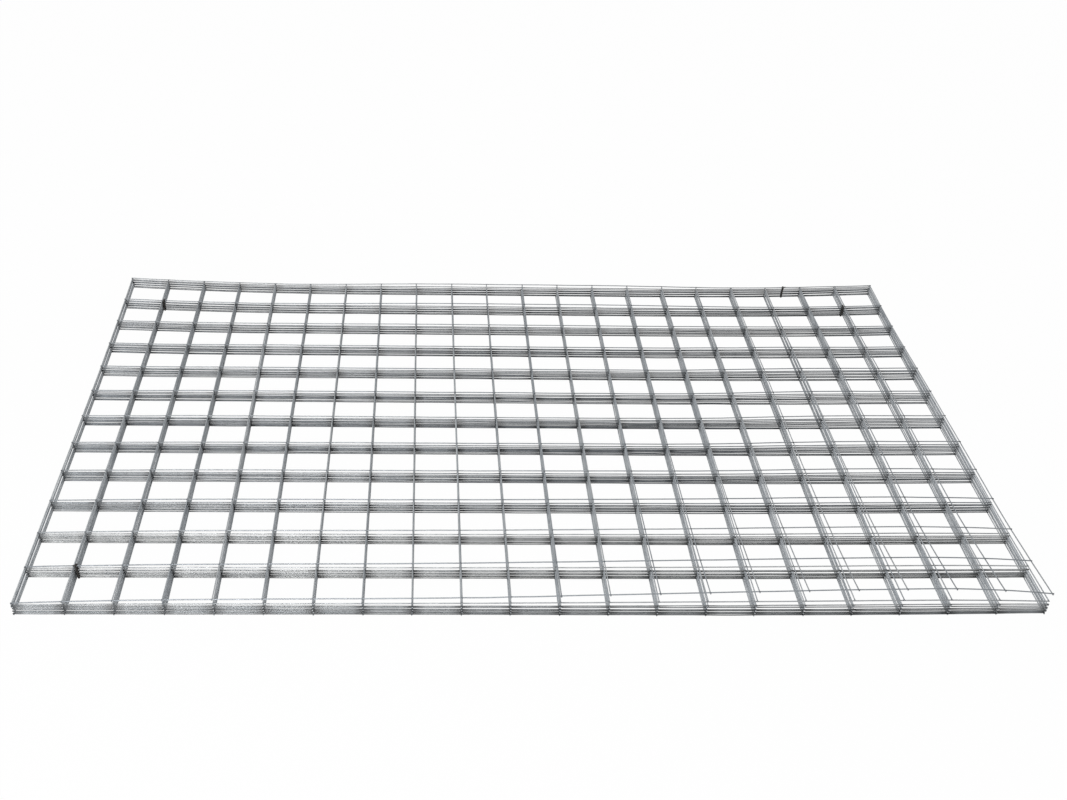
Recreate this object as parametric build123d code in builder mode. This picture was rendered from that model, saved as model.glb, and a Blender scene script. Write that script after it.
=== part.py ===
# Tied bundle of flat welded wire mesh sheets, nested in pairs and a little lifted at three corners
import os
from math import exp

from build123d import *

os.makedirs("parts", exist_ok=True)

# Mesh, all sizes in mm
opening = 100.0
bays_long = 21
bays_wide = 12
wire = 2.5
weld_sink = 0.8
overhang = 2.0
sheet_count = 9
rest_gap = 0.2
pair_pitch = 3 * wire - weld_sink + 2 * rest_gap

# Curl and fan of the stack
back_left_curl = 16.0
back_right_curl = 8.0
right_edge_bow = 8.0
front_bow = 17.5
front_fan = 27.5
front_corner_dip = 18.0
right_spread = 9.0
back_bow = 7.0
free_spring = 2.0
fan_share = (0, 0, 0, 0, 0.03, 0.08, 0.14, 0.36, 1)
spread_share = (0, 0, 0.2, 0.3, 0.45, 0.55, 0.62, 0.7, 1)
bow_share = (0, 0, 0, 0, 0, 0, 0.05, 0.3, 1)
shift_long = (0, 1.2, 0.4, 1.0, 0, -0.6, -1.2, -0.8, -2.0)
shift_wide = (-1.4, 1.5, -1.2, 1.7, -1.6, 1.3, -1.3, 1.6, 0.3)

# Tie wire
tie_wire = 1.5
tie_turns = 3
tie_clear = 0.4
tie_tail = 8.0
ties = {
    "tie_wire_back_left": (1.055, 11, 1),
    "tie_wire_back_mid": (18.5, 12, 1),
    "tie_wire_back_right": (19.94, 11, -1),
    "tie_wire_front_left": (1.055, 1, -1),
}

half_long = bays_long * opening / 2
half_wide = bays_wide * opening / 2


def over(t):
    return max(0.0, t) ** 2


def smooth(t):
    t = min(1.0, max(0.0, t))
    return t * t * (3 - 2 * t)


# Height of a sheet's underside where the stack is tight: every second sheet is turned over, and its
# wires along X lie beside those of the sheet below it
def base(k):
    return k // 2 * pair_pitch + k % 2 * (wire + rest_gap)


# Height of a sheet's underside at a place in plan, u and v being bays from the front left corner
def underside(k, x, y):
    u = min(bays_long, max(0, (x + half_long) / opening))
    v = min(bays_wide, max(0, (y + half_wide) / opening))
    curl = back_left_curl * over(1 - (u + bays_wide - v) / 6)
    curl += back_right_curl * over(1 - (bays_long - u + bays_wide - v) / 5)
    curl += right_edge_bow * over((u - 13) / 8)
    fan = front_bow * (1 - exp(-u / 3)) + front_fan * smooth((u - 6.5) / 12.5)
    fan = (fan - front_corner_dip * over((u - 18.5) / 2.5)) * max(0.0, 1 - v / 8) ** 2.4
    spread = right_spread * smooth((u - 14) / 5) * smooth((v - 1.7) / 4) * smooth((11 - v) / 4)
    bow = back_bow * smooth((u - 4) / 5) * smooth((18 - u) / 5) * smooth((v - 9) / 3)
    inside = smooth(u / 4) * smooth((bays_long - u) / 4) * smooth(v / 3) * smooth((bays_wide - v) / 2)
    bow += free_spring * inside
    return base(k) + curl + fan_share[k] * fan + spread_share[k] * spread + bow_share[k] * bow


# Closed outline of one wire from its crossings, leaving out those on a straight run
def outline(places, heights):
    first, last = (places[0] - overhang, heights[0]), (places[-1] + overhang, heights[-1])
    stations = [first, *zip(places, heights), last]
    kept = [stations[0]]
    for here, ahead in zip(stations[1:], stations[2:]):
        back = kept[-1]
        slope = (ahead[1] - back[1]) / (ahead[0] - back[0])
        if abs(back[1] + slope * (here[0] - back[0]) - here[1]) > 0.001:
            kept.append(here)
    kept.append(stations[-1])
    return kept + [(s, h + wire) for s, h in reversed(kept)]


# One sheet, its wires along X welded onto those along Y, or under them where it is turned over
def sheet(k):
    xs = [-half_long + shift_long[k] + i * opening for i in range(bays_long + 1)]
    ys = [-half_wide + shift_wide[k] + j * opening for j in range(bays_wide + 1)]
    layer = wire - weld_sink
    lift_y, lift_x = (layer, 0) if k % 2 else (0, layer)
    with BuildPart() as mesh:
        for x in xs:
            with BuildSketch(Plane.YZ.offset(x)):
                Polygon(*outline(ys, [underside(k, x, y) + lift_y for y in ys]), align=None)
        for y in ys:
            with BuildSketch(Plane.XZ.offset(-y)):
                Polygon(*outline(xs, [underside(k, x, y) + lift_x for x in xs]), align=None)
        extrude(amount=wire / 2, both=True)
    return mesh.part


# Turns of soft wire side by side round one column of cross wires, with the twisted end turned up
def tie(u, v, lean):
    x = -half_long + u * opening
    row = -half_wide + v * opening
    low = underside(0, x, row) + wire - weld_sink - tie_clear
    high = underside(sheet_count - 1, x, row) + 2 * wire - weld_sink + tie_clear
    near = row + min(shift_wide) - wire / 2 - tie_clear
    far = row + max(shift_wide) + wire / 2 + tie_clear
    with BuildPart() as loop:
        with BuildSketch(Plane.YZ.offset(x)):
            with Locations(((near + far) / 2, (low + high) / 2)):
                Rectangle(far - near + 2 * tie_wire, high - low + 2 * tie_wire)
                Rectangle(far - near, high - low, mode=Mode.SUBTRACT)
        extrude(amount=tie_turns * tie_wire / 2, both=True)
        top = high + tie_wire / 2
        with BuildSketch(Plane.XZ.offset(-(near - tie_wire / 2))):
            Polygon(
                (x - tie_wire, top - tie_wire / 2),
                (x + tie_wire, top - tie_wire / 2),
                (x + tie_wire + lean * tie_tail * 0.6, top + tie_tail * 0.5),
                (x - tie_wire + lean * tie_tail * 0.6, top + tie_tail * 0.5),
                align=None,
            )
        extrude(amount=tie_wire / 2, both=True)
    return loop.part


for k in range(sheet_count):
    piece = sheet(k)
    piece.label = f"mesh_sheet_{k + 1}"
    export_step(piece, f"parts/mesh_sheet_{k + 1}.step")

for name, (u, v, lean) in ties.items():
    piece = tie(u, v, lean)
    piece.label = name
    export_step(piece, f"parts/{name}.step")
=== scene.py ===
import math

import bpy
import numpy as np
from mathutils import Matrix, Vector


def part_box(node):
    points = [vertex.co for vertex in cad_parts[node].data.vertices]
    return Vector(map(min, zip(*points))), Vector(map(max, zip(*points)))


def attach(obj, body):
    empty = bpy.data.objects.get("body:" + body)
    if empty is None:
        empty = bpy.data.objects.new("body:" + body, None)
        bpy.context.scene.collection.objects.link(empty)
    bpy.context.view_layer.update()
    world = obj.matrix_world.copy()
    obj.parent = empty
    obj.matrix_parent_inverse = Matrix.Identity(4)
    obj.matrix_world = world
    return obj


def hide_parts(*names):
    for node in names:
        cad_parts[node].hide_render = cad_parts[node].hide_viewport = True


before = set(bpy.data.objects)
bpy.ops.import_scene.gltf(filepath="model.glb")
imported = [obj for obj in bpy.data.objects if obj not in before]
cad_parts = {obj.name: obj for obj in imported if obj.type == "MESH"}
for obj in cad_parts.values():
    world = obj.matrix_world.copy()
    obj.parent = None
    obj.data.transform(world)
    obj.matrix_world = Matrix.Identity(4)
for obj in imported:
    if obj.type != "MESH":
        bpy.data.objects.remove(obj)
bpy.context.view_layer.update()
print("frame loaded:", len(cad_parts), "nodes")
random = np.random.default_rng(21)


def linear(hexColour):
    # sRGB hex to linear: below 0.04045 divided by 12.92, above it a power of 2.4
    part = [int(hexColour[k:k + 2], 16) / 255 for k in (1, 3, 5)]
    return tuple(c / 12.92 if c <= 0.04045 else ((c + 0.055) / 1.055) ** 2.4 for c in part) + (1.0,)


def addNode(tree, kind, settings=None, values=None, links=None):
    node = tree.nodes.new(kind)
    for name, value in (settings or {}).items():
        setattr(node, name, value)
    for name, value in (values or {}).items():
        node.inputs[name].default_value = value
    for name, source in (links or {}).items():
        tree.links.new(source, node.inputs[name])
    return node


def newMaterial(name):
    material = bpy.data.materials.new(name)
    material.use_nodes = True
    material.node_tree.nodes.clear()
    return material, material.node_tree


def makePiece(name, points, quads, triangles, material, shades=None):
    # points, four-cornered and three-cornered faces as whole arrays, put into one mesh
    mesh = bpy.data.meshes.new(name)
    corners = np.concatenate([quads.ravel(), triangles.ravel()]).astype(np.int32)
    counts = np.concatenate([np.full(len(quads), 4), np.full(len(triangles), 3)]).astype(np.int32)
    starts = np.concatenate([[0], np.cumsum(counts)[:-1]]).astype(np.int32)
    mesh.vertices.add(len(points))
    mesh.vertices.foreach_set("co", points.astype(np.float32).ravel())
    mesh.loops.add(len(corners))
    mesh.loops.foreach_set("vertex_index", corners)
    mesh.polygons.add(len(counts))
    mesh.polygons.foreach_set("loop_start", starts)
    mesh.polygons.foreach_set("loop_total", counts)
    mesh.polygons.foreach_set("use_smooth", np.ones(len(counts), dtype=bool))
    mesh.update(calc_edges=True)
    for label, values in (shades or {}).items():
        layer = mesh.attributes.new(label, "FLOAT", "POINT")
        layer.data.foreach_set("value", values.astype(np.float32))
    mesh.validate()
    piece = bpy.data.objects.new(name, mesh)
    bpy.context.collection.objects.link(piece)
    mesh.materials.append(material)
    return piece


def withEnds(rows):
    # every row with its first and its last station once more, for the cut ends
    return np.concatenate([rows[:, :1], rows, rows[:, -1:]], axis=1)


def tubeFaces(rings, sides, copies):
    # faces of closed tubes, each with its rings of points in order and then the middles of its two
    # ends: four-cornered faces between neighbouring rings and a fan of three-cornered ones at each end
    a, b = np.meshgrid(np.arange(rings - 1), np.arange(sides), indexing="ij")
    c = (b + 1) % sides
    quads = np.stack([a * sides + b, (a + 1) * sides + b, (a + 1) * sides + c, a * sides + c], axis=-1)
    here, after = b[0], c[0]
    last, total = (rings - 1) * sides, rings * sides
    start = np.stack([np.full(sides, total), here, after], axis=-1)
    stop = np.stack([np.full(sides, total + 1), last + after, last + here], axis=-1)
    offset = (np.arange(copies) * (total + 2))[:, None, None]
    quads = (quads.reshape(1, -1, 4) + offset).reshape(-1, 4)
    caps = (np.concatenate([start, stop])[None] + offset).reshape(-1, 3)
    return quads, caps


barEnd = {
    "chamfer": 0.15,         # length of the chamfer at a cut end, as a share of the wire's radius
    "narrowed": 0.82,        # radius that the chamfer ends at, as the same share
}


def roundBars(paths, radius, sides, tones, along):
    # a circle of the radius is carried along each path, square to its run, and both cut ends get a
    # narrow chamfer and a flat cap; faceUp is 1 where the skin faces straight up and -1 straight down
    bars, stations, _ = paths.shape
    run = np.gradient(paths, axis=1)
    run /= np.linalg.norm(run, axis=2, keepdims=True)
    side = np.cross(np.array([0, 0, 1.0]), run)
    side /= np.linalg.norm(side, axis=2, keepdims=True)
    top = np.cross(run, side)
    centres, side, top = withEnds(paths), withEnds(side), withEnds(top)
    centres[:, 0] -= run[:, 0] * radius * barEnd["chamfer"]
    centres[:, -1] += run[:, -1] * radius * barEnd["chamfer"]
    size = np.full(stations + 2, radius)
    size[[0, -1]] = radius * barEnd["narrowed"]
    turn = np.arange(sides) * 2 * np.pi / sides
    ring = side[:, :, None] * np.cos(turn)[:, None] + top[:, :, None] * np.sin(turn)[:, None]
    skin = centres[:, :, None] + ring * size[:, None, None]
    count = (stations + 2) * sides
    points = np.concatenate([skin.reshape(bars, count, 3), centres[:, :1], centres[:, -1:]], axis=1)
    quads, caps = tubeFaces(stations + 2, sides, bars)
    upward = np.concatenate([ring[..., 2].reshape(bars, count), np.zeros((bars, 2))], axis=1)
    shades = {"wireToneAndFrontLight": np.repeat(tones, count + 2), "faceUp": upward.ravel()}
    for label, values in along.items():
        wide = withEnds(values)
        around = np.repeat(wide, sides, axis=1)
        shades[label] = np.concatenate([around, wide[:, :1], wide[:, -1:]], axis=1).ravel()
    return points.reshape(-1, 3), quads, caps, shades


def joinArrays(parts):
    # several sets of points and faces as one, with the faces' numbers moved on
    points, quads, caps = [], [], []
    total = 0
    for p, q, t, _ in parts:
        points.append(p)
        quads.append(q + total)
        caps.append(t + total)
        total += len(p)
    shades = {label: np.concatenate([part[3][label] for part in parts]) for label in parts[0][3]}
    return np.concatenate(points), np.concatenate(quads), np.concatenate(caps), shades


meshSheet = {
    "baysLong": 21,
    "baysWide": 12,
    "opening": 0.1,
    "wireRadius": 0.00125,
    "weldSink": 0.0008,      # how far the two wires are pressed into one another
    "overhang": 0.002,       # how far a wire stands out past the last weld
    "overhangSpread": 0.0005,
    "sides": 8,
    # where a wire has a ring of points in each bay; the second and the last stand close to a weld
    "stepsInBay": (0.0, 0.03, 0.25, 0.5, 0.75, 0.97),
    "stackLean": 0.00028,    # how much further along X than the CAD one each sheet lies than the last
    "turnedBack": 0.001,     # how far the turned over sheets lie back again, so that no gaps show
    "lineOff": 0.0006,       # sideways miss of each wire across the width
    "crossOff": 0.0004,      # the same of each wire along the length
    "waver": 0.0004,         # slow sideways wander along a wire
    "waves": (0.6, 1.6),     # full waves of that wander from one end to the other
    "sag": 0.0005,           # bow between welds
    "nugget": (0.0019, 0.0019, 0.00085),  # half sizes of the metal squeezed out at a weld
    "nuggetSpread": 0.08,
    # tones of the wires, from dull at 0 to bright at 1
    "lineTones": (0.2, 0.55),       # across the width, between these
    "innerTone": 0.25,              # along the length
    "frontLitTones": (0.5, 0.8, 0.9),  # painted light: the first ones from the front, painted lighter
    "toneSpread": 0.15,             # how far one wire along the length may differ
    "endHeat": 0.3,                 # share of a weld's burn that the cut end of a wire shows
    # light that the neighbours in the stack leave on a wire
    "closeBy": (0.002, 0.012),      # clear gaps to the next sheet between which its shade fades out
    "aboveShare": 0.6,              # share of that shade which the sheet above gives
    "shadeRamp": (0.3, 0.9),        # shares of straight up that the skin faces, where the shade ends
    "crossShade": 0.06,             # light left low on a wire along the length between neighbours
    "spotShade": 0.7,               # share of the light that such a wire loses beside a weld
    "lowestSheetLight": 0.6,              # painted shade: how light the lowest sheet is painted beside the top one
    "lowestPower": 3,               # the higher, the less the sheets between them differ from the lowest
    "lineDeep": 0.25,               # share of that painted darkening on the wires across the width
    "clearShade": 0.35,             # painted shade: how much darker a wire is painted where it stands clear of the next sheets
    "openEnd": 0.55,                # share of the shade that a wire loses at its open end
    "endReach": 0.07,               # how far from the end that fades
}


def throughPoints(heights, steps):
    # a cubic through four neighbours in each bay (Catmull-Rom), sampled at the same shares of every bay
    before, after = 2 * heights[:, :1] - heights[:, 1:2], 2 * heights[:, -1:] - heights[:, -2:-1]
    wide = np.concatenate([before, heights, after], axis=1)
    p0, p1, p2, p3 = (wide[:, k:wide.shape[1] - 3 + k, None] for k in range(4))
    t = np.array(steps)
    curve = 2 * p1 + (p2 - p0) * t + (2 * p0 - 5 * p1 + 4 * p2 - p3) * t ** 2
    curve = (curve + (3 * p1 - p0 - 3 * p2 + p3) * t ** 3) / 2
    return np.concatenate([curve.reshape(len(heights), -1), heights[:, -1:]], axis=1)


def crossingTops(node, xs, ys):
    # a ray from 1 m up straight down on each crossing of the CAD sheet gives the top of its upper wire
    found = np.zeros((len(xs), len(ys)))
    for i, x in enumerate(xs):
        for j, y in enumerate(ys):
            hit, place, _, _ = node.ray_cast(Vector((x, y, 1.0)), Vector((0, 0, -1)))
            found[i, j] = place.z if hit else np.nan
    return found


def sheetHeight(p):
    return 4 * p["wireRadius"] - p["weldSink"]


def sheetPlan(name, p):
    # where a sheet's wires run, and the height of its underside at each crossing
    low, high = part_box(name)
    midX, midY = (low[0] + high[0]) / 2, (low[1] + high[1]) / 2
    xs = midX + (np.arange(p["baysLong"] + 1) - p["baysLong"] / 2) * p["opening"]
    ys = midY + (np.arange(p["baysWide"] + 1) - p["baysWide"] / 2) * p["opening"]
    under = crossingTops(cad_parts[name], xs, ys) - sheetHeight(p)
    return {"xs": xs, "ys": ys, "middle": (midX, midY), "under": under}


def closeness(level, plans, p):
    # 1 at a crossing with the next sheets right above and below it, 0 where both are far off; the
    # lowest sheet has the floor close below it
    under = plans[level]["under"]
    near, far = p["closeBy"]
    share = []
    for other in (level + 1, level - 1):
        if 0 <= other < len(plans):
            gap = np.abs(plans[other]["under"] - under) - sheetHeight(p)
            share.append(np.clip((far - gap) / (far - near), 0, 1))
        else:
            share.append(np.full_like(under, float(other < 0)))
    return p["aboveShare"] * share[0] + (1 - p["aboveShare"]) * share[1]


def barPaths(rows, close, bays, layer, off, p):
    # along the run: the welds' heights joined by cubics, plus a half sine of sag in each bay; sideways:
    # each wire's own miss, plus a slow sine
    steps = np.array(p["stepsInBay"])
    half = bays * p["opening"] / 2
    inside = (np.arange(bays)[:, None] + steps).ravel() * p["opening"] - half
    along = np.concatenate([inside, [half]])
    heights = throughPoints(rows, steps) + layer
    sag = random.normal(0, p["sag"] / 2, (len(rows), bays, 1)) * np.sin(np.pi * steps)
    heights[:, :-1] += sag.reshape(len(rows), -1)
    heights = np.maximum(heights, p["wireRadius"])
    phase = random.uniform(0, 2 * np.pi, (len(rows), 1))
    waves = random.uniform(*p["waves"], (len(rows), 1)) * np.pi / half
    aside = random.normal(0, off, (len(rows), 1)) + p["waver"] * np.sin(waves * along + phase)
    reach = p["overhang"] + random.uniform(-1, 1, (2, len(rows))) * p["overhangSpread"]
    along = withEnds(np.repeat(along[None], len(rows), 0))
    along[:, 0] -= reach[0]
    along[:, -1] += reach[1]
    # 1 at each weld, and for the painted shade spots also right beside it
    heat, spot = np.zeros((2, len(rows), aside.shape[1]))
    heat[:, ::len(steps)] = 1
    for beside in (0, 1, len(steps) - 1):
        spot[:, beside::len(steps)] = 1
    heat = withEnds(heat)
    heat[:, [0, -1]] = p["endHeat"]
    near = withEnds(np.clip(throughPoints(close, steps), 0, 1))
    shaded = near * (1 - p["openEnd"] * np.exp((np.abs(along) - half) / p["endReach"]))
    runs = {"weldHeat": heat, "close": shaded, "clear": 1 - near, "spot": withEnds(spot) * near}
    return along, withEnds(aside), withEnds(heights), runs


def weldNuggets(centres, tones, close, p):
    # a flattened ball of three rings of eight points at each crossing, where the metal was squeezed out
    rings, sides = 3, 8
    tilt = np.linspace(0, np.pi, rings + 2)[1:-1]
    turn = np.arange(sides) * 2 * np.pi / sides
    unit = np.stack([np.outer(np.sin(tilt), np.cos(turn)), np.outer(np.sin(tilt), np.sin(turn)),
                     np.outer(np.cos(tilt), np.ones(sides))], axis=-1).reshape(-1, 3)
    unit = np.concatenate([unit, [[0, 0, 1]], [[0, 0, -1]]])
    swell = 1 + random.normal(0, p["nuggetSpread"], (len(centres), 1, 1))
    points = centres[:, None] + unit * np.array(p["nugget"]) * swell
    quads, caps = tubeFaces(rings, sides, len(centres))
    near = np.repeat(close, len(unit))
    shades = {"wireToneAndFrontLight": np.repeat(tones, len(unit)), "weldHeat": np.ones(len(near)),
              "close": near, "clear": 1 - near, "spot": near,
              "faceUp": np.tile(unit[:, 2], len(centres))}
    return points.reshape(-1, 3), quads, caps, shades


def shadeSkin(shades, deep, inRow, p):
    # painted light and shade on the skin: less light the deeper it lies and where it stands clear, and on
    # the wires in the tight rows a painted ramp from the shaded lower side to the open upper side, and
    # painted shade spots at the welds
    near, clear = shades.pop("close"), shades.pop("clear")
    spot = shades.pop("spot")
    ramp = np.interp(shades.pop("faceUp"), p["shadeRamp"], (0, 1))
    light = (1 - deep * near) * (1 - p["clearShade"] * clear)
    if inRow:
        light *= (1 - near * (1 - p["crossShade"]) * (1 - ramp)) * (1 - p["spotShade"] * spot)
    shades["stackShade"] = light


def weldedSheet(name, level, plans, p, material):
    plan = plans[level]
    shift = level * p["stackLean"] - level % 2 * p["turnedBack"]
    xs, ys, under = plan["xs"] + shift, plan["ys"], plan["under"]
    midX, midY = plan["middle"]
    r, sink = p["wireRadius"], p["weldSink"]
    close = closeness(level, plans, p)

    # every second sheet is turned over, its wires along X lowest
    lineLayer, crossLayer = (3 * r - sink, r) if level % 2 else (r, 3 * r - sink)
    along, aside, heights, runs = barPaths(under, close, p["baysWide"], lineLayer, p["lineOff"], p)
    lineBars = np.stack([xs[:, None] + aside, midY + along, heights], axis=-1)
    lineTone = random.uniform(*p["lineTones"], len(xs))
    lines = roundBars(lineBars, r, p["sides"], lineTone, runs)

    along, aside, heights, runs = barPaths(under.T, close.T, p["baysLong"], crossLayer, p["crossOff"], p)
    crossBars = np.stack([midX + shift + along, ys[:, None] + aside, heights], axis=-1)
    crossToneAndFrontLight = random.uniform(-p["toneSpread"], p["toneSpread"], len(ys)) + p["innerTone"]
    if level < len(plans) - 1:   # the top sheet gets no painted front light
        crossToneAndFrontLight[:len(p["frontLitTones"])] += np.array(p["frontLitTones"]) - p["innerTone"]
    crosses = roundBars(crossBars, r, p["sides"], np.clip(crossToneAndFrontLight, 0, 1), runs)

    atWeld = slice(1, None, len(p["stepsInBay"]))
    centres = [lineBars[:, atWeld, 0], crossBars[:, atWeld, 1].T, under + 2 * r - sink / 2]
    centres = np.stack(centres, axis=-1).reshape(-1, 3)
    nuggets = weldNuggets(centres, np.repeat(lineTone, len(ys)), close.ravel(), p)

    # painted shade: the deeper a sheet lies in the stack, the darker it is painted where its neighbours
    # lie close
    deep = (1 - p["lowestSheetLight"]) * (1 - (level / (len(plans) - 1)) ** p["lowestPower"])
    shadeSkin(lines[3], deep * p["lineDeep"], False, p)
    shadeSkin(crosses[3], deep, True, p)
    shadeSkin(nuggets[3], deep, True, p)
    points, quads, caps, shades = joinArrays([lines, crosses, nuggets])
    piece = makePiece(name + "_wires", points, quads, caps, material, shades)
    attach(piece, "root")
    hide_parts(name)
    return piece


tieWire = {
    "radius": 0.00075,
    "sides": 8,
    "turns": 3,
    "turnGap": 1.25,         # step from turn to turn, in wires
    "tailRise": 0.004,       # how far the CAD tail stands over the loop
    "bandHalf": 0.00225,     # half the width of the CAD loop, which gives the loop's place
    "bend": 0.0012,          # how much of each corner is cut off by its bend
    "stepsInSide": 9,
    "twistAxis": (0.75, -0.15, 0.5),
    "twistTurns": 1.5,
    "twistLength": 0.006,
    "twistSteps": 30,
    "twistApart": 1.02,      # distance of both ends from the axis, in radii
    "splay": 0.004,          # how strongly they part towards the tips
    "splayFrom": 0.8,        # share of the twist after which they do
    "splayPower": 1.2,
    "leanRight": ("tie_wire_back_left", "tie_wire_back_mid"),  # the others' ends lean to the left
}


def tieLoop(name, p, material):
    low, high = (np.array(c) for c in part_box(name))
    r = p["radius"]
    lean = 1 if name in p["leanRight"] else -1
    x = low[0] + p["bandHalf"] if lean > 0 else high[0] - p["bandHalf"]
    near, far = low[1] + r, high[1] - r
    bottom, top = low[2] + r, high[2] - p["tailRise"]
    # rounded rectangles square to the held wires, started at the upper near corner, each turn beside
    # the last one
    corners = np.array([[near, top], [near, bottom], [far, bottom], [far, top], [near, top]])
    t = np.linspace(0, 1, p["stepsInSide"])[:, None]
    loop = []
    for a, b in zip(corners, corners[1:]):
        way = (b - a) / np.linalg.norm(b - a) * p["bend"]
        loop.append(a + way + (b - a - 2 * way) * t)
    loop = np.tile(np.concatenate(loop), (p["turns"], 1))
    shift = np.linspace(-1, 1, len(loop)) * r * (p["turns"] - 1) * p["turnGap"]
    body = np.stack([x + shift * lean, loop[:, 0], loop[:, 1]], axis=-1)
    # the two ends wind round a leaning axis as a double helix, then part
    s = np.linspace(0, 1, p["twistSteps"])
    axis = np.array(p["twistAxis"]) * (lean, 1, 1)
    axis /= np.linalg.norm(axis)
    side = np.cross(axis, [0, 1.0, 0])
    side /= np.linalg.norm(side)
    other = np.cross(axis, side)
    turn = s * p["twistTurns"] * 2 * np.pi
    spread = r * p["twistApart"] + p["splay"] * np.maximum(0, s - p["splayFrom"]) ** p["splayPower"]
    helix = np.array([x, near, top]) + np.outer(s * p["twistLength"], axis)
    around = (np.outer(np.cos(turn), side) + np.outer(np.sin(turn), other)) * spread[:, None]
    one, two = helix + around, helix - around
    path = np.concatenate([one[::-1], body, two])[None]
    points, quads, caps, _ = roundBars(path, r, p["sides"], np.zeros(1), {})
    piece = makePiece(name + "_bent", points, quads, caps, material)
    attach(piece, "root")
    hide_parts(name)
    return piece


zincLook = {
    "dull": "#868D94",
    "bright": "#C8CACA",
    "worn": "#767C82",
    "burnt": "#4E5257",
    "burn": 0.75,            # how much of the burnt colour a weld shows
    "patch": 0.035,          # size of the worn patches
    "patchFrom": (0.45, 0.7),  # noise values between which a patch comes in
    "patchMost": 0.45,
    "grain": 0.0025,         # size of the spots that differ in roughness
    "roughness": (0.35, 0.5),
    "metal": 0.5,
}


def drawnGalvanisedWire(p):
    # zinc coated steel wire, drawn: a satin bluish grey metal, each wire a little lighter or darker,
    # with dull patches a few centimetres long and darker zinc where a weld burnt it, and the colour
    # scaled by the painted light and shade of the stack
    material, tree = newMaterial("drawn_galvanised_wire")
    where = addNode(tree, "ShaderNodeTexCoord")
    tone = addNode(tree, "ShaderNodeAttribute", {"attribute_name": "wireToneAndFrontLight"})
    heat = addNode(tree, "ShaderNodeAttribute", {"attribute_name": "weldHeat"})
    shade = addNode(tree, "ShaderNodeAttribute", {"attribute_name": "stackShade"})
    patches = addNode(tree, "ShaderNodeTexNoise", links={"Vector": where.outputs["Object"]},
                      values={"Scale": 1 / p["patch"], "Detail": 3.0, "Roughness": 0.6})
    grain = addNode(tree, "ShaderNodeTexNoise", links={"Vector": where.outputs["Object"]},
                    values={"Scale": 1 / p["grain"], "Detail": 2.0})
    zinc = addNode(tree, "ShaderNodeMix", {"data_type": "RGBA"}, links={"Factor": tone.outputs["Fac"]})
    zinc.inputs["A"].default_value = linear(p["dull"])
    zinc.inputs["B"].default_value = linear(p["bright"])
    wear = addNode(tree, "ShaderNodeMapRange", links={"Value": patches.outputs["Fac"]},
                   values={"From Min": p["patchFrom"][0], "From Max": p["patchFrom"][1],
                           "To Min": 0.0, "To Max": p["patchMost"]})
    worn = addNode(tree, "ShaderNodeMix", {"data_type": "RGBA"},
                   links={"Factor": wear.outputs["Result"], "A": zinc.outputs["Result"]})
    worn.inputs["B"].default_value = linear(p["worn"])
    burn = addNode(tree, "ShaderNodeMath", {"operation": "MULTIPLY"}, {1: p["burn"]},
                   {0: heat.outputs["Fac"]})
    colour = addNode(tree, "ShaderNodeMix", {"data_type": "RGBA"},
                     links={"Factor": burn.outputs["Value"], "A": worn.outputs["Result"]})
    colour.inputs["B"].default_value = linear(p["burnt"])
    # painted shade: the colour is scaled by the stack's painted light and shade
    shaded = addNode(tree, "ShaderNodeVectorMath", {"operation": "SCALE"},
                     links={"Vector": colour.outputs["Result"], "Scale": shade.outputs["Fac"]})
    rough = addNode(tree, "ShaderNodeMapRange", links={"Value": grain.outputs["Fac"]},
                    values={"From Min": 0.3, "From Max": 0.7,
                            "To Min": p["roughness"][0], "To Max": p["roughness"][1]})
    shader = addNode(tree, "ShaderNodeBsdfPrincipled", values={"Metallic": p["metal"]},
                     links={"Base Color": shaded.outputs["Vector"], "Roughness": rough.outputs["Result"]})
    addNode(tree, "ShaderNodeOutputMaterial", links={"Surface": shader.outputs["BSDF"]})
    return material


oxideLook = {
    "black": "#1F1E1E",
    "brown": "#3A3632",
    "scale": 0.003,          # size of the browner spots
    "roughness": 0.6,
    "metal": 0.6,
}


def blackAnnealedWire(p):
    # soft iron binding wire with a thin black oxide from annealing: near black, dull, a little brown
    material, tree = newMaterial("black_annealed_wire")
    where = addNode(tree, "ShaderNodeTexCoord")
    spots = addNode(tree, "ShaderNodeTexNoise", links={"Vector": where.outputs["Object"]},
                    values={"Scale": 1 / p["scale"], "Detail": 3.0})
    colour = addNode(tree, "ShaderNodeMix", {"data_type": "RGBA"}, links={"Factor": spots.outputs["Fac"]})
    colour.inputs["A"].default_value = linear(p["black"])
    colour.inputs["B"].default_value = linear(p["brown"])
    shader = addNode(tree, "ShaderNodeBsdfPrincipled", links={"Base Color": colour.outputs["Result"]},
                     values={"Metallic": p["metal"], "Roughness": p["roughness"]})
    addNode(tree, "ShaderNodeOutputMaterial", links={"Surface": shader.outputs["BSDF"]})
    return material


zincWire = drawnGalvanisedWire(zincLook)
bindingWire = blackAnnealedWire(oxideLook)
sheetNames = sorted(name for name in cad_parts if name.startswith("mesh_sheet"))
sheetPlans = [sheetPlan(name, meshSheet) for name in sheetNames]
for level, name in enumerate(sheetNames):
    piece = weldedSheet(name, level, sheetPlans, meshSheet, zincWire)
    print(name, "wires:", len(piece.data.polygons), "faces")
for name in sorted(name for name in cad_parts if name.startswith("tie_wire")):
    tieLoop(name, tieWire, bindingWire)
print("tie wires bent")

studio = {
    "floorShare": 0.985,     # how much of the floor's look is plain white, the rest takes the shadow
    "floorTone": "#B0B0B0",
    "floorHalf": 30.0,       # half the side of the floor
    "floorDrop": 0.0002,     # how far the floor lies below the lowest wires
    "sky": 0.35,             # strength of the plain world that lights the object
    "lamps": (               # name, place, width and depth, power
        ("key_lamp", (-1.1, -2.8, 1.7), (0.9, 0.9), 130.0),
        ("back_lamp", (-0.4, 1.8, 3.4), (1.4, 1.4), 50.0),
    ),
}


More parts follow.
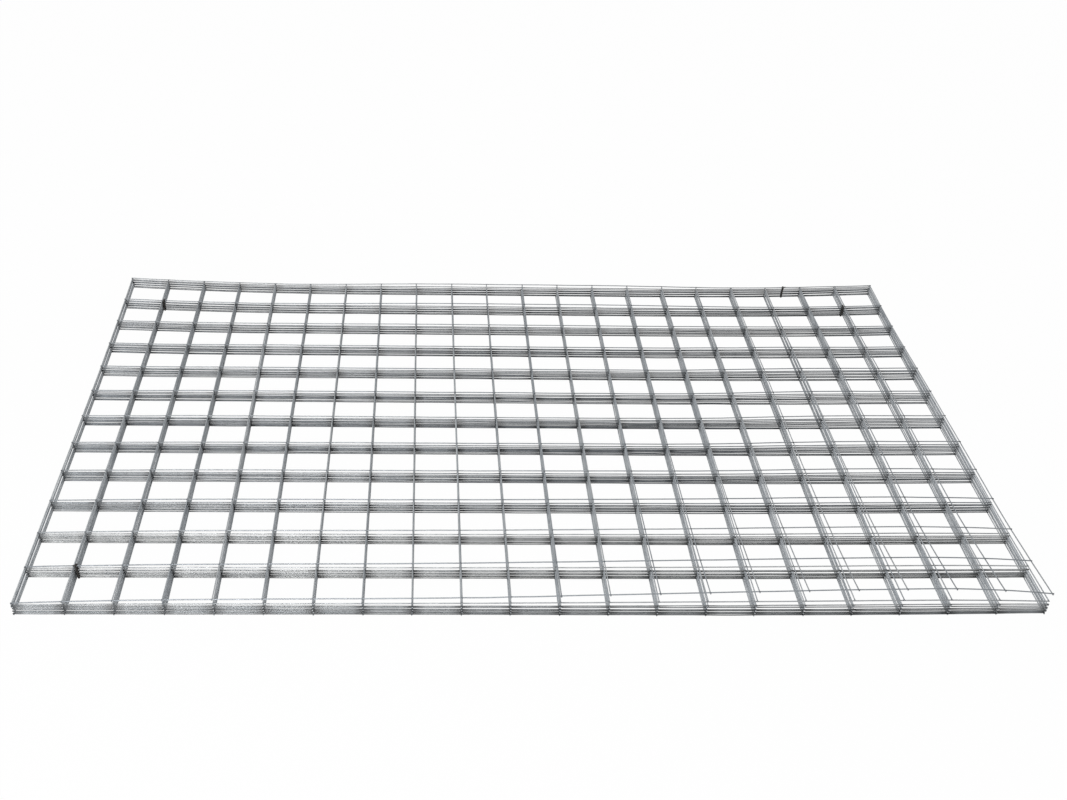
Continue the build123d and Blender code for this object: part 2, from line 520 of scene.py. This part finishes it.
def whiteToEye(tree):
    # 1 for camera, glossy and transmission rays, 0 for the rays that light the object
    path = addNode(tree, "ShaderNodeLightPath")
    most = addNode(tree, "ShaderNodeMath", {"operation": "MAXIMUM"},
                   links={0: path.outputs["Is Camera Ray"], 1: path.outputs["Is Glossy Ray"]})
    return addNode(tree, "ShaderNodeMath", {"operation": "MAXIMUM"},
                   links={0: most.outputs["Value"], 1: path.outputs["Is Transmission Ray"]})


def studioFloor(p):
    material, tree = newMaterial("pale_floor")
    seen = whiteToEye(tree)
    share = addNode(tree, "ShaderNodeMath", {"operation": "MULTIPLY"}, {1: p["floorShare"]},
                    {0: seen.outputs["Value"]})
    matt = addNode(tree, "ShaderNodeBsdfDiffuse", values={"Color": linear(p["floorTone"])})
    white = addNode(tree, "ShaderNodeEmission", values={"Color": (1, 1, 1, 1), "Strength": 1.0})
    both = {0: share.outputs["Value"], 1: matt.outputs["BSDF"], 2: white.outputs["Emission"]}
    mixed = addNode(tree, "ShaderNodeMixShader", links=both)
    addNode(tree, "ShaderNodeOutputMaterial", links={"Surface": mixed.outputs["Shader"]})
    plane = np.array([[-1, -1], [1, -1], [1, 1], [-1, 1]]) * p["floorHalf"]
    plane = np.concatenate([plane, np.full((4, 1), -p["floorDrop"])], axis=1)
    floor = makePiece("floor", plane, np.array([[0, 1, 2, 3]]), np.zeros((0, 3), dtype=int), material)


def studioLight(p):
    world = bpy.data.worlds.new("studio")
    bpy.context.scene.world = world
    world.use_nodes = True
    tree = world.node_tree
    tree.nodes.clear()
    seen = whiteToEye(tree)
    sky = addNode(tree, "ShaderNodeBackground", values={"Color": (1, 1, 1, 1), "Strength": p["sky"]})
    white = addNode(tree, "ShaderNodeBackground", values={"Color": (1, 1, 1, 1), "Strength": 1.0})
    both = {0: seen.outputs["Value"], 1: sky.outputs["Background"], 2: white.outputs["Background"]}
    mixed = addNode(tree, "ShaderNodeMixShader", links=both)
    addNode(tree, "ShaderNodeOutputWorld", links={"Surface": mixed.outputs["Shader"]})
    for name, place, size, power in p["lamps"]:
        data = bpy.data.lights.new(name, "AREA")
        data.shape = "RECTANGLE"
        data.size, data.size_y = size
        data.energy = power
        lamp = bpy.data.objects.new(name, data)
        bpy.context.collection.objects.link(lamp)
        lamp.location = place
        lamp.rotation_euler = (-Vector(place)).to_track_quat("-Z", "Y").to_euler()


photoView = {
    "place": (-0.2352, -2.1697, 1.7730),
    "yaw": 2.076,            # degrees to the right of +Y
    "down": 37.828,          # degrees below level
    "roll": 1.687,
    "focalPixels": 1143.8,
    "middlePixels": 453.6,   # where the lens axis meets the picture, across it
    "pictureWidth": 1067,
    "sensorWidth": 36,
}


def photoCamera(p):
    # the view runs along the yaw and pitch, and the roll turns right and up about it
    yaw, down, roll = (math.radians(p[k]) for k in ("yaw", "down", "roll"))
    ahead = Vector((math.sin(yaw) * math.cos(down), math.cos(yaw) * math.cos(down), -math.sin(down)))
    right = Vector((math.cos(yaw), -math.sin(yaw), 0))
    up = right.cross(ahead)
    x = right * math.cos(roll) + up * math.sin(roll)
    y = up * math.cos(roll) - right * math.sin(roll)
    data = bpy.data.cameras.new("photo_camera")
    data.sensor_width = p["sensorWidth"]
    data.lens = p["focalPixels"] / p["pictureWidth"] * p["sensorWidth"]
    data.shift_x = (p["pictureWidth"] / 2 - p["middlePixels"]) / p["pictureWidth"]
    data.clip_end = 100
    camera = bpy.data.objects.new("photo_camera", data)
    bpy.context.collection.objects.link(camera)
    turn = Matrix((x, y, -ahead)).transposed()
    camera.matrix_world = Matrix.Translation(Vector(p["place"])) @ turn.to_4x4()
    bpy.context.scene.camera = camera


studioFloor(studio)
studioLight(studio)
photoCamera(photoView)
bpy.context.scene.view_settings.view_transform = "Standard"
print("studio set")
